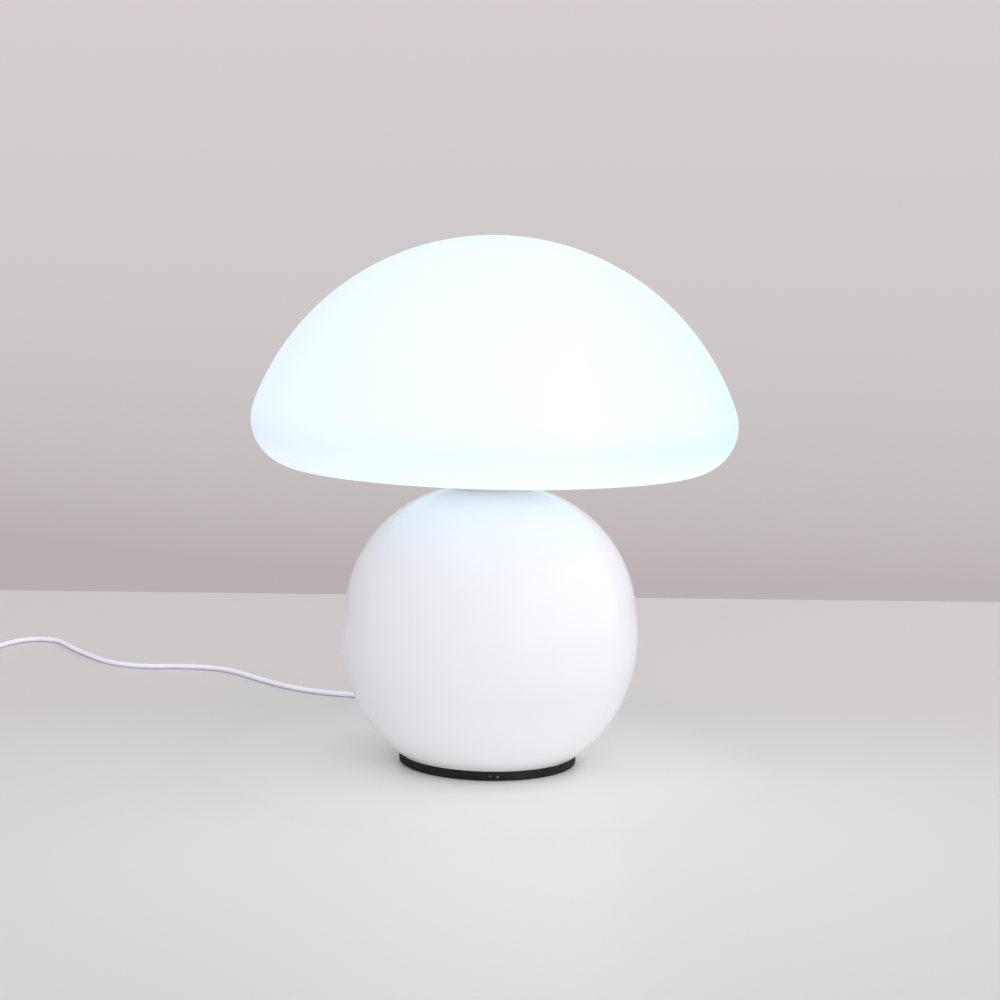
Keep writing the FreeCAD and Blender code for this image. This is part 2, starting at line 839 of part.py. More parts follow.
def switch_lower():
    shell = switch_outline(0, 0, switch_lower_height)
    shell = shell.makeFillet(switch_edge, flat_edges(shell, 0))
    shell = shell.cut(switch_outline(switch_wall, switch_wall, switch_lower_height + 1))
    for post in at_screws(post_radius, switch_wall / 2, switch_lower_height):
        shell = shell.fuse(post)
    for hole in at_screws(switch_screw_radius + fit_gap, -1, switch_lower_height + 1):
        shell = shell.cut(hole)
    for recess in at_screws(recess_radius, -1, switch_wall):
        shell = shell.cut(recess)
    return positive(shell.removeSplitter())


def switch_upper():
    low = switch_lower_height
    shell = switch_outline(0, low, switch_height)
    shell = shell.makeFillet(switch_edge, flat_edges(shell, switch_height))
    shell = shell.cut(switch_outline(switch_wall, low - 1, switch_roof))
    for side in (-1, 1):
        ear = box(ear_length, ear_width, switch_roof - ear_height, switch_roof)
        ear.translate(Vec(0, side * (rocker_width / 2 + rest_gap + ear_width / 2), 0))
        shell = shell.fuse(ear)
    for post in at_screws(post_radius, low, switch_roof + switch_wall / 2):
        shell = shell.fuse(post)
    for hole in at_screws(switch_screw_radius, low - 1, low + switch_screw_reach + fit_gap):
        shell = shell.cut(hole)
    window = box(rocker_length + 6 * rest_gap, rocker_width + 2 * rest_gap, low, switch_height + 1)
    pin_hole = Part.makeCylinder(rocker_pin + bore_gap, switch_width, Vec(0, -switch_width / 2,
                                 pivot_level), Vec(0, 1, 0))
    hollow = switch_outline(switch_wall, low, switch_roof)
    return positive(shell.cut(window).cut(pin_hole.common(hollow)).removeSplitter())


def switch_rocker():
    half = rocker_length / 2
    top = switch_height + rocker_proud - half * sin(radians(rocker_tilt))
    low = top - rocker_height
    side = -rocker_width / 2
    foot = half - rocker_draft
    outline = [Part.makeLine(Vec(-foot, side, low), Vec(-half, side, top)),
               bow(Vec(-half, side, top), Vec(0, side, top - rocker_dip), Vec(half, side, top)),
               Part.makeLine(Vec(half, side, top), Vec(foot, side, low)),
               Part.makeLine(Vec(foot, side, low), Vec(-foot, side, low))]
    body = Part.Face(Part.Wire(outline)).extrude(Vec(0, rocker_width, 0))
    upper = [edge for edge in body.Edges if edge.BoundBox.ZMin > low + rocker_edge]
    body = body.makeFillet(rocker_edge, upper)
    pin_length = rocker_width + 2 * (rest_gap + ear_width - fit_gap)
    pin = Part.makeCylinder(rocker_pin, pin_length, Vec(0, -pin_length / 2, pivot_level), Vec(0, 1, 0))
    rocker = positive(body.fuse(pin).removeSplitter())
    rocker.rotate(Vec(0, 0, pivot_level), Vec(0, 1, 0), rocker_tilt)
    return rocker


def switch_contacts():
    strips = []
    step = switch_wall + contact_thickness
    for side in (-1, 1):
        strip = box(contact_strip_length, contact_strip_width, switch_wall, step)
        post = box(contact_width, contact_strip_width, step, step + contact_post_height)
        strip = positive(strip.fuse(post).removeSplitter())
        strip.translate(Vec(0, side * switch_contact_offset, 0))
        strips.append(strip)
    return Part.makeCompound(strips)


def switch_screws():
    heads = at_screws(screw_head_radius, screw_head_sink, switch_wall)
    shanks = at_screws(switch_screw_radius, switch_wall, switch_lower_height + switch_screw_reach)
    slot = box(switch_length, screw_slot, 0, screw_head_sink + screw_slot_depth)
    screws = [positive(head.fuse(shank).removeSplitter().cut(slot))
              for head, shank in zip(heads, shanks)]
    return Part.makeCompound(screws)


def at_switch(shape):
    return placed(shape, switch_centre, switch_heading)


# Plug with two round pins and a ribbed tail

plug_level = plug_thickness / 2


def plug_body():
    front = plug_length / 2
    wide = plug_front_width / 2
    middle = plug_middle_width / 2
    slim = plug_tail_width / 2
    right = bow(Vec(front, wide, 0), Vec(0, middle, 0), Vec(-front, slim, 0))
    left = bow(Vec(-front, -slim, 0), Vec(0, -middle, 0), Vec(front, -wide, 0))
    face = Part.Face(Part.Wire([
        right, Part.makeLine(Vec(-front, slim, 0), Vec(-front, -slim, 0)), left,
        Part.makeLine(Vec(front, -wide, 0), Vec(front, wide, 0))]))
    body = face.extrude(Vec(0, 0, plug_thickness))
    body = body.makeFillet(plug_edge, flat_edges(body, 0) + flat_edges(body, plug_thickness))
    tail = [point(0, 0), point(plug_relief_root, 0)]
    step = plug_relief_length / (plug_relief_ribs + 1)
    taper = (plug_relief_root - plug_relief_tip) / plug_relief_length
    bevel = plug_groove_width / 4
    for k in range(plug_relief_ribs):
        begin = (k + 1) * step - plug_groove_width / 2
        end = begin + plug_groove_width
        outer = plug_relief_root - taper * (k + 1) * step
        inner = outer - plug_groove_depth
        tail += [point(outer, begin), point(inner, begin + bevel), point(inner, end - bevel),
                 point(outer, end)]
    tail += [point(plug_relief_tip, plug_relief_length), point(0, plug_relief_length)]
    relief = spun(*tail)
    relief.rotate(origin, Vec(0, 1, 0), -90)
    relief.translate(Vec(-front, 0, plug_level))
    body = body.fuse(relief)
    for side in (-1, 1):
        body = body.cut(along_x(pin_core, front - pin_inset, front + 1, side))
    return positive(body.removeSplitter())


pin_core = pin_sleeve_radius - 0.4


def along_x(radius, begin, end, side):
    place = Vec(begin, side * pin_spacing / 2, plug_level)
    return Part.makeCylinder(radius, end - begin, place, Vec(1, 0, 0))


def plug_pins():
    front = plug_length / 2
    pins = []
    for side in (-1, 1):
        core = along_x(pin_core, front - pin_inset, front + pin_sleeve, side)
        tip = along_x(pin_radius, front + pin_sleeve, front + pin_length, side)
        end = [edge for edge in tip.Edges if edge.BoundBox.XMin > front + pin_length - 1e-6]
        tip = tip.makeFillet(0.45 * pin_radius, end)
        pins.append(positive(core.fuse(tip).removeSplitter()))
    return Part.makeCompound(pins)


def plug_sleeves():
    front = plug_length / 2
    sleeves = []
    for side in (-1, 1):
        sleeve = along_x(pin_sleeve_radius, front, front + pin_sleeve, side)
        sleeves.append(positive(sleeve.cut(along_x(pin_core, front, front + pin_sleeve, side))))
    return Part.makeCompound(sleeves)


def at_plug(shape):
    return placed(shape, plug_centre, plug_heading)


# Coil: the turns spiral in and out by layers, and climb in the half turn at each reversal

coil_turns = coil_layers * coil_layer_turns
coil_base = cord_radius + coil_lift


def coil_radius_at(turn):
    phase = (turn / coil_layer_turns) % 2
    inward = phase if phase <= 1 else 2 - phase
    return coil_outer - coil_pitch * coil_layer_turns * inward


def coil_climb_at(turn):
    """Layers climbed so far, and the climb per turn."""
    layer = round(turn / coil_layer_turns)
    if layer < 1 or layer > coil_layers - 1:
        return float(min(max(layer, 0), coil_layers - 1)), 0.0
    step = (turn - layer * coil_layer_turns) / 0.5 + 0.5
    if step <= 0 or step >= 1:
        return float(layer - 1 if step <= 0 else layer), 0.0
    return layer - 1 + step * step * (3 - 2 * step), 12 * step * (1 - step)


def coil_spot(turn):
    angle = coil_start + 360 * turn
    spot = coil_centre + heading_of(angle) * coil_radius_at(turn)
    spot.z = coil_base + coil_pitch * coil_climb_at(turn)[0]
    return spot


def coil_tangent(turn):
    angle = coil_start + 360 * turn
    climb = coil_climb_at(turn)[1]
    phase = (turn / coil_layer_turns) % 1
    turning = phase < 1e-9 and 0 < turn < coil_turns
    sign = -1 if int(turn / coil_layer_turns + 1e-9) % 2 == 0 else 1
    if turn >= coil_turns:
        sign = 1
    steady = 0 if turning else sign * coil_pitch
    flat = heading_of(angle + 90) * (2 * pi * coil_radius_at(turn)) + heading_of(angle) * steady
    return (flat + upward * (climb * coil_pitch)).normalize()


def biarc(begin, begin_way, end, end_way):
    """Two arcs that leave and arrive along the ways given and meet smoothly."""
    chord = end - begin
    ways = begin_way + end_way
    curl = 2 * (begin_way.dot(end_way) - 1)
    across = chord.dot(ways)
    if abs(curl) < 1e-12:
        reach = chord.dot(chord) / (2 * across)
    else:
        reach = (2 * across - sqrt(4 * across ** 2 - 4 * curl * chord.dot(chord))) / (2 * curl)
    meeting = (begin + begin_way * reach + end - end_way * reach) / 2
    halves = []
    for start, way, stop in ((begin, begin_way, meeting), (end, end_way * -1, meeting)):
        span = stop - start
        normal = way.cross(span).cross(way).normalize()
        radius = span.dot(span) / (2 * span.dot(normal))
        centre = start + normal * radius
        middle = centre + ((start - centre) + (stop - centre)).normalize() * radius
        halves.append((start, middle, stop))
    first = Part.Arc(*halves[0]).toShape()
    second = Part.Arc(halves[1][2], halves[1][1], halves[1][0]).toShape()
    return [first, second]


def coil_path():
    stub = 2 * cord_radius
    quarters = int(4 * coil_turns)
    first = coil_spot(0) - coil_tangent(0) * stub
    last = coil_spot(coil_turns) + coil_tangent(coil_turns) * stub
    edges = [Part.makeLine(first, coil_spot(0))]
    for k in range(quarters):
        begin = k / 4
        end = (k + 1) / 4
        edges += biarc(coil_spot(begin), coil_tangent(begin), coil_spot(end), coil_tangent(end))
    edges.append(Part.makeLine(coil_spot(coil_turns), last))
    return Part.Wire(edges), first, last


def least_gap(path):
    """Smallest distance between stretches of the coil half a turn or more apart, less a diameter."""
    step = 0.8 * cord_radius
    spots = path.discretize(Distance=step)
    skip = int(pi * coil_radius_at(coil_layer_turns) / step)
    nearest = min((spots[i] - spots[j]).Length
                  for i in range(0, len(spots)) for j in range(i + skip, len(spots)))
    return nearest - 2 * cord_radius


def coil_tie():
    mean = coil_outer - coil_pitch * coil_layer_turns / 2
    half = coil_pitch * coil_layer_turns / 2 + cord_radius + 2 * tie_gap
    low = coil_lift - tie_gap
    high = coil_base + (coil_layers - 1) * coil_pitch + cord_radius + tie_gap

    def loop(grow):
        block = Part.makeBox(2 * (half + grow), tie_width, high - low + 2 * grow,
                             Vec(mean - half - grow, -tie_width / 2, low - grow))
        sides = [edge for edge in block.Edges if edge.BoundBox.YLength > tie_width - 1e-6]
        return block.makeFillet(tie_corner + grow, sides)

    band = positive(loop(tie_thickness).cut(loop(0)))
    return placed(band, coil_centre, tie_azimuth)


save("foot_pad", foot_pad())
save("bottom_plate", bottom_plate())
save("counterweight", counterweight())
save("base_globe", base_globe())
save("centre_tube", centre_tube())
save("bottom_washer", ring(tube_radius + bore_gap, small_washer_radius,
                           cup_ceiling - washer_thickness, cup_ceiling))
save("bottom_nut", hex_nut(cup_ceiling - washer_thickness - nut_height, nut_height, tube_radius))
save("weight_nut", hex_nut(weight_top, nut_height, tube_radius))
save("neck_gasket", ring(top_hole, gasket_radius, neck_seat, neck_low))
save("neck_collar", neck_collar())
save("fitter_dish", fitter_dish())
save("top_washer", ring(tube_radius + bore_gap, washer_radius, dish_top, nut_low))
save("top_nut", hex_nut(nut_low, nut_height, tube_radius))
save("seat_ring", seat_ring())
save("shade_dome", shade_dome())
save("shade_underside", shade_underside())
save("holder_cap", holder_cap())
save("holder_core", holder_core())
save("holder_skirt", holder_skirt())
save("screw_liner", screw_liner())
save("centre_contact", centre_contact())
save("side_contact", side_contact())
save("terminal_screws", terminal_screws())
save("bulb_tip", bulb_tip())
save("bulb_insulator", bulb_insulator())
save("bulb_cap", bulb_cap())
save("bulb_housing", bulb_housing())
save("bulb_diffuser", bulb_diffuser())
save("led_board", led_board())
save("led_chips", led_chips())
save("driver_board", driver_board())
save("strain_relief", strain_relief())
save("cord_grip", cord_grip())
save("inner_lead", inner_lead())

for side, wire in zip(("live", "neutral"), holder_wires()):
    save(side + "_wire", wire)
save("switch_lower", at_switch(switch_lower()))
save("switch_upper", at_switch(switch_upper()))
save("switch_rocker", at_switch(switch_rocker()))
save("switch_contacts", at_switch(switch_contacts()))
save("switch_screws", at_switch(switch_screws()))
save("plug_body", at_plug(plug_body()))
save("plug_pins", at_plug(plug_pins()))
save("plug_sleeves", at_plug(plug_sleeves()))
save("coil_tie", coil_tie())

coil_wire, coil_in, coil_out = coil_path()
coil = swept(coil_wire, cord_radius)
print("coil length", round(coil_wire.Length, 1), "volume ratio",
      round(coil.Volume / (pi * cord_radius ** 2 * coil_wire.Length), 4),
      "least gap", round(least_gap(coil_wire), 2))
save("cord_coil", coil)

switch_way = heading_of(switch_heading)
plug_way = heading_of(plug_heading)
split_level = upward * switch_lower_height
switch_in = switch_centre - switch_way * (switch_length / 2) + split_level
switch_out = switch_centre + switch_way * (switch_length / 2) + split_level
plug_in = plug_centre - plug_way * (plug_length / 2 + plug_relief_length) + upward * plug_level
landing = (exit_level - cord_radius) / sin(radians(-exit_tilt))
run_points = [exit_point(relief_length), exit_point(landing)] + run_route + [
    switch_in - switch_way * cord_lead_in, switch_in]
link_points = [switch_out, switch_out + switch_way * cord_lead_in] + link_route + [
    coil_in - coil_tangent(0) * cord_lead_in, coil_in]
tail_points = [coil_out, coil_out + coil_tangent(coil_turns) * cord_lead_in] + tail_route + [
    plug_in - plug_way * cord_lead_in, plug_in]
lengths = [cord_tube("cord_run", run_points), cord_tube("cord_link", link_points),
           cord_tube("cord_tail", tail_points)]
print("cord length outside the lamp", round(sum(lengths) + coil_wire.Length + switch_length, 1))
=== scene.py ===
import json
import math
import bmesh
import bpy
from mathutils import Matrix, Vector


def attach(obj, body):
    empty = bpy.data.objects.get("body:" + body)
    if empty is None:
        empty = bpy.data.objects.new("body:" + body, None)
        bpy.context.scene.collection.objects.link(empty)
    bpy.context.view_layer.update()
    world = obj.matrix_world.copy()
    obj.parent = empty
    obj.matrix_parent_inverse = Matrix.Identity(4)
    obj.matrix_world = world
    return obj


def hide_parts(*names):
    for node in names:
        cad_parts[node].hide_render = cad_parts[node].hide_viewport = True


# Mushroom table lamp: a lit opal glass dome on a white glazed globe, with its cord, switch and plug.
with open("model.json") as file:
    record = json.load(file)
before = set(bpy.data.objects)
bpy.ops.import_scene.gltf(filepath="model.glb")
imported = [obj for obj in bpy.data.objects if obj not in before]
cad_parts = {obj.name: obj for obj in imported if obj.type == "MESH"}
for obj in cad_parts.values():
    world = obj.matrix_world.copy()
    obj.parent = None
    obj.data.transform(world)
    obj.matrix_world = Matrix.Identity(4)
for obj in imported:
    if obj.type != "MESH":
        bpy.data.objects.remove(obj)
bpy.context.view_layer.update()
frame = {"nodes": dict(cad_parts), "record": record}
nodes = frame["nodes"]
print("frame loaded:", len(nodes), "nodes")


class Wire:
    def __init__(self, maker, socket):
        self.maker = maker
        self.socket = socket

    def maths(self, kind, *values):
        return self.maker.node("ShaderNodeMath", {"operation": kind}, dict(enumerate(values)))

    def __add__(self, other):
        return self.maths("ADD", self, other)

    def __radd__(self, other):
        return self.maths("ADD", other, self)

    def __sub__(self, other):
        return self.maths("SUBTRACT", self, other)

    def __rsub__(self, other):
        return self.maths("SUBTRACT", other, self)

    def __mul__(self, other):
        return self.maths("MULTIPLY", self, other)

    def __rmul__(self, other):
        return self.maths("MULTIPLY", other, self)

    def __truediv__(self, other):
        return self.maths("DIVIDE", self, other)

    def __rtruediv__(self, other):
        return self.maths("DIVIDE", other, self)

    def __pow__(self, other):
        return self.maths("POWER", self, other)

    def __rpow__(self, other):
        return self.maths("POWER", other, self)


class NodeMaker:
    def __init__(self, tree):
        self.tree = tree

    def node(self, kind, settings=None, sockets=None, output=0):
        made = self.tree.nodes.new(kind)
        for name, value in (settings or {}).items():
            setattr(made, name, value)
        for name, value in (sockets or {}).items():
            if isinstance(value, Wire):
                self.tree.links.new(value.socket, made.inputs[name])
            else:
                made.inputs[name].default_value = value
        return Wire(self, made.outputs[output]) if made.outputs else None

    def place(self):
        return self.node("ShaderNodeTexCoord", output="Object")

    def axes(self, vector):
        parts = self.node("ShaderNodeSeparateXYZ", None, {0: vector})
        return [Wire(self, parts.socket.node.outputs[k]) for k in range(3)]

    def noise(self, vector, scale, detail=3.0, roughness=0.5):
        return self.node("ShaderNodeTexNoise", None,
                         {"Vector": vector, "Scale": scale, "Detail": detail, "Roughness": roughness})

    def cells(self, vector, scale):
        return self.node("ShaderNodeTexVoronoi", None, {"Vector": vector, "Scale": scale})

    def within(self, value, low, high, start=0.0, end=1.0):
        return self.node("ShaderNodeMapRange", {"clamp": True},
                         {"Value": value, "From Min": low, "From Max": high,
                          "To Min": start, "To Max": end})

    def tint(self, amount, first, second):
        return self.node("ShaderNodeMix", {"data_type": "RGBA"},
                         {0: amount, 6: first, 7: second}, 2)

    def bump(self, height, distance):
        return self.node("ShaderNodeBump", None, {"Height": height, "Distance": distance})


def paint(name, recipe):
    material = bpy.data.materials.new(name)
    material.use_nodes = True
    tree = material.node_tree
    tree.nodes.clear()
    make = NodeMaker(tree)
    shader = make.node("ShaderNodeBsdfPrincipled", None, recipe(make))
    make.node("ShaderNodeOutputMaterial", None, {"Surface": shader})
    return material


def rgb(red, green, blue):
    return (red, green, blue, 1.0)


# Camera of the photograph: slightly above the lamp, tipped down and a little rolled
camera = {"place": (0.0, -1.15, 0.273684), "tip": 0.118, "roll": 0.022, "lens": 80.58, "shift": 0.00704,
          "sensor": 36, "farthest": 50}


def makeCamera(values):
    data = bpy.data.cameras.new("camera")
    data.lens = values["lens"]
    data.sensor_width = values["sensor"]
    data.shift_x = values["shift"]
    data.clip_end = values["farthest"]
    body = bpy.data.objects.new("camera", data)
    turn = Matrix.Rotation(math.pi / 2 - values["tip"], 4, "X")
    turn = turn @ Matrix.Rotation(values["roll"], 4, "Z")
    body.matrix_world = Matrix.Translation(values["place"]) @ turn
    bpy.context.scene.collection.objects.link(body)
    bpy.context.scene.camera = body


makeCamera(camera)


# Shared makers of meshes
mergeGap = 1e-6
seamGap = 2e-6       # closes the seam and the poles of a turned piece
softEdge = 35.0      # edges sharper than this many degrees stay crisp


def addMesh(name, mesh):
    piece = bpy.data.objects.new(name, mesh)
    bpy.context.scene.collection.objects.link(piece)
    return piece


def frozen(piece, name):
    # the evaluated object's own mesh, with every modifier in it
    seen = bpy.context.evaluated_depsgraph_get()
    mesh = bpy.data.meshes.new_from_object(piece.evaluated_get(seen))
    mesh.name = name
    bpy.data.objects.remove(piece)
    return addMesh(name, mesh)


def tidyMesh(piece, sharp=softEdge):
    work = bmesh.new()
    work.from_mesh(piece.data)
    bmesh.ops.remove_doubles(work, verts=work.verts, dist=mergeGap)
    bmesh.ops.recalc_face_normals(work, faces=work.faces)
    for face in work.faces:
        face.smooth = True
    work.to_mesh(piece.data)
    work.free()
    piece.data.set_sharp_from_angle(angle=math.radians(sharp))


def arcPoints(centre, radius, start, end, step):
    # points on an arc in the profile's plane, as (distance from the axis, height)
    sweep = math.radians(end - start)
    count = max(2, round(abs(radius * sweep) / step))
    spots = []
    for k in range(count + 1):
        angle = math.radians(start) + sweep * k / count
        spots.append((centre[0] + radius * math.cos(angle), centre[1] + radius * math.sin(angle)))
    return spots


# Geometry Nodes tool that turns a profile curve about the vertical axis
def turningTree():
    tree = bpy.data.node_groups.new("turnedPiece", "GeometryNodeTree")
    tree.interface.new_socket("Geometry", in_out="INPUT", socket_type="NodeSocketGeometry")
    around = tree.interface.new_socket("Steps around", in_out="INPUT", socket_type="NodeSocketInt")
    finish = tree.interface.new_socket("Finish", in_out="INPUT", socket_type="NodeSocketMaterial")
    tree.interface.new_socket("Geometry", in_out="OUTPUT", socket_type="NodeSocketGeometry")
    make = NodeMaker(tree)
    given = make.node("NodeGroupInput")
    outlets = given.socket.node.outputs
    profile = Wire(make, outlets["Geometry"])
    steps = Wire(make, outlets["Steps around"])
    count = make.node("GeometryNodeAttributeDomainSize", {"component": "CURVE"}, {"Geometry": profile})
    grid = make.node("GeometryNodeMeshGrid", None,
                     {"Size X": 1.0, "Size Y": 1.0, "Vertices X": count, "Vertices Y": steps})
    index = make.node("GeometryNodeInputIndex")
    row = make.node("ShaderNodeMath", {"operation": "FLOOR"}, {0: (index + 0.5) / steps})
    column = index - row * steps
    spot = make.node("GeometryNodeSampleIndex", {"data_type": "FLOAT_VECTOR", "domain": "POINT"},
                     {"Geometry": profile, "Value": make.node("GeometryNodeInputPosition"), "Index": row})
    angle = column * (2 * math.pi) / (steps - 1)
    turned = make.node("ShaderNodeVectorRotate", {"rotation_type": "Z_AXIS"},
                       {"Vector": spot, "Angle": angle})
    moved = make.node("GeometryNodeSetPosition", None, {"Geometry": grid, "Position": turned})
    sealed = make.node("GeometryNodeMergeByDistance", None, {"Geometry": moved, "Distance": seamGap})
    real = make.node("GeometryNodeRealizeInstances", None, {"Geometry": sealed})
    dressed = make.node("GeometryNodeSetMaterial", None,
                        {"Geometry": real, "Material": Wire(make, outlets["Finish"])})
    make.node("NodeGroupOutput", None, {"Geometry": dressed})
    return tree, around.identifier, finish.identifier


turning, aroundSocket, finishSocket = turningTree()


def turnedPiece(name, profile, material, around, sharp=softEdge):
    curve = bpy.data.curves.new(name, "CURVE")
    curve.dimensions = "3D"
    line = curve.splines.new("POLY")
    spots = profile + [profile[0]]
    line.points.add(len(spots) - 1)
    for point, (radius, height) in zip(line.points, spots):
        point.co = (radius, 0, height, 1)
    piece = bpy.data.objects.new(name, curve)
    bpy.context.scene.collection.objects.link(piece)
    tool = piece.modifiers.new("turned", "NODES")
    tool.node_group = turning
    tool[aroundSocket] = around + 1
    tool[finishSocket] = material
    made = frozen(piece, name)
    tidyMesh(made, sharp=sharp)
    return made


# Opal shade: crown arc, rim arc, flat underside, and the lip that rolls up into the throat
# Its glow is the bulb's light through the glass, a colour for each height; the colours for the left, right
# and back sides and for the underside are painted light and shade, each with a band in metres over which
# that colour fades in
shade = {"widest": 0.125, "level": 0.1785539, "crown": 0.095, "rim": 0.024, "undersideStart": 81.5,
         "underside": 0.358, "lipHandover": 90.7715, "lip": 0.014, "wall": 0.0032, "step": 0.0012,
         "around": 320, "white": rgb(0.57, 0.63, 0.66), "milk": rgb(0.55, 0.615, 0.645),
         "cloudScale": 12.0, "waveScale": 24.0, "seedScale": 240.0, "seedSize": 0.05, "seedShare": 0.2,
         "rough": (0.42, 0.5), "bump": 0.00001, "glowStrength": 1.5,
         "glowHigh": rgb(0.185, 0.255, 0.27), "glowLow": rgb(0.22, 0.33, 0.36), "lowBand": (0.265, 0.175),
         "paintedShadeLeft": rgb(0.245, 0.27, 0.34), "leftBand": (0.11, -0.11), "leftShare": 0.8,
         "paintedShadeRight": rgb(0.11, 0.28, 0.325), "rightBand": (0.04, 0.12),
         "paintedLightBack": rgb(0.28, 0.33, 0.345), "backBand": (-0.02, 0.1),
         "paintedLightUnder": rgb(0.315, 0.355, 0.375), "underBand": (0.172, 0.158),
         "paintedLightThroat": rgb(0.335, 0.42, 0.445), "throatBand": (0.108, 0.06)}


def opalRecipe(make):
    place = make.place()
    x, y, z = make.axes(place)
    cloud = make.noise(place, shade["cloudScale"], 1.0)
    # the bulb sits low, so the glow thins out over the crown
    glow = make.tint(make.within(z, *shade["lowBand"]), shade["glowHigh"], shade["glowLow"])
    left = make.within(x, *shade["leftBand"]) * shade["leftShare"]
    under = make.within(z, *shade["underBand"])
    throat = make.within((x * x + y * y) ** 0.5, *shade["throatBand"]) * under
    # painted light and shade: the left, right and back sides get glow colours of their own, evening out how
    # the studio light falls on them
    glow = make.tint(left, glow, shade["paintedShadeLeft"])
    glow = make.tint(make.within(x, *shade["rightBand"]), glow, shade["paintedShadeRight"])
    glow = make.tint(make.within(y, *shade["backBand"]), glow, shade["paintedLightBack"])
    # painted light: the underside, and most of all the glass round the throat, glows brighter to light the
    # globe's top below it
    glow = make.tint(under, glow, shade["paintedLightUnder"])
    glow = make.tint(throat, glow, shade["paintedLightThroat"])
    seeds = make.within(make.cells(place, shade["seedScale"]), shade["seedSize"], 0.0)
    height = make.noise(place, shade["waveScale"], 0.0) + seeds * shade["seedShare"]
    return {"Base Color": make.tint(make.within(cloud, 0.3, 0.7), shade["white"], shade["milk"]),
            "Roughness": make.within(cloud, 0.3, 0.7, *shade["rough"]),
            "IOR": 1.5, "Coat Weight": 0.1, "Coat Roughness": 0.3,
            "Emission Color": glow, "Emission Strength": shade["glowStrength"],
            "Normal": make.bump(height, shade["bump"])}


def makeShade(values):
    rimCentre = (values["widest"] - values["rim"], values["level"])
    crownRadius = (rimCentre[0] ** 2 + values["crown"] ** 2 - values["rim"] ** 2) / (
        2 * (values["crown"] - values["rim"]))
    crownCentre = (0.0, values["level"] + values["crown"] - crownRadius)
    tangency = math.degrees(math.atan2(rimCentre[1] - crownCentre[1], rimCentre[0]))
    start = math.radians(values["undersideStart"])
    offset = values["rim"] - values["underside"]
    undersideCentre = (rimCentre[0] + offset * math.cos(start), rimCentre[1] - offset * math.sin(start))
    handover = math.radians(values["lipHandover"])
    reach = values["underside"] - values["lip"]
    lipCentre = (undersideCentre[0] + reach * math.cos(handover),
                 undersideCentre[1] - reach * math.sin(handover))

    def skin(inset):
        step = values["step"]
        spots = arcPoints(crownCentre, crownRadius - inset, 90, tangency, 2 * step)
        spots += arcPoints(rimCentre, values["rim"] - inset, tangency, -values["undersideStart"], step)[1:]
        spots += arcPoints(undersideCentre, values["underside"] - inset, -values["undersideStart"],
                           -values["lipHandover"], 2 * step)[1:]
        return spots + arcPoints(lipCentre, values["lip"] - inset, -values["lipHandover"], -180, step)[1:]

    half = values["wall"] / 2
    end = arcPoints((lipCentre[0] - values["lip"] + half, lipCentre[1]), half, 180, 0, half / 4)[1:-1]
    profile = skin(0.0) + end + skin(values["wall"])[::-1]
    piece = turnedPiece("shadeGlass", profile, paint("opalGlass", opalRecipe), values["around"])
    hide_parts("shade_dome", "shade_underside")
    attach(piece, "shade")
    print("shade made:", len(piece.data.polygons), "faces")


makeShade(shade)


# Glazed globe: bowl arc, belt arc and shoulder arc, with its wall, floor and lead hole
globe = {"base": 0.005, "widestLevel": 0.0655, "radius": 0.0769, "belt": 0.127, "beltAngle": 10.4,
         "shoulder": 0.0695, "bowl": 0.075, "wall": 0.004, "floor": 0.01, "opening": 0.03,
         "pocket": 0.038, "pocketTop": 0.0072, "neckFlat": 0.0215, "topHole": 0.007, "step": 0.0012,
         "around": 288, "glaze": rgb(0.84, 0.826, 0.86), "glazeDeep": rgb(0.8, 0.786, 0.825),
         "paintedLightGlaze": rgb(0.92, 0.913, 0.93), "footBand": (0.045, 0.006), "rough": (0.06, 0.1),
         "pitScale": 300.0, "pitSize": 0.05, "bump": 0.00001}
leadExit = {"level": 0.024, "azimuth": 100.0, "hole": 0.0045, "relief": 0.024, "around": 64}


def glazeRecipe(make):
    place = make.place()
    x, y, z = make.axes(place)
    cloud = make.noise(place, 9.0, 1.0)
    paintedFootLight = make.within(z, *globe["footBand"])      # painted light: lighter towards the foot, lifting the shaded bottom of the globe
    amount = make.within(cloud, 0.35, 1.1)
    glaze = make.tint(amount, globe["glaze"], globe["glazeDeep"])
    scattered = make.within(make.noise(place, 35.0, 0.0), 0.5, 0.6)
    pits = make.within(make.cells(place, globe["pitScale"]), globe["pitSize"], 0.0) * scattered
    height = make.noise(place, 45.0, 0.0) - pits * 0.5
    return {"Base Color": make.tint(paintedFootLight, glaze, globe["paintedLightGlaze"]),
            "Roughness": make.within(cloud, 0.3, 0.7, *globe["rough"]) + pits * 0.02,
            "IOR": 1.52, "Normal": make.bump(height, globe["bump"])}


def exitAxis():
    sink = (leadExit["level"] - globe["widestLevel"]) / globe["bowl"]
    tilt = math.asin(sink)
    reach = globe["radius"] - globe["bowl"] + globe["bowl"] * math.cos(tilt)
    turn = math.radians(leadExit["azimuth"])
    outward = Vector((math.cos(turn), math.sin(turn), 0))
    spot = outward * reach + Vector((0, 0, leadExit["level"]))
    return spot, outward * math.cos(tilt) + Vector((0, 0, sink))


exitPlace, exitWay = exitAxis()


def laidAlong(mesh, place, way):
    # takes a mesh made about the vertical axis to a place, its axis along a way
    turn = Vector((0, 0, 1)).rotation_difference(way).to_matrix().to_4x4()
    mesh.transform(Matrix.Translation(place) @ turn)


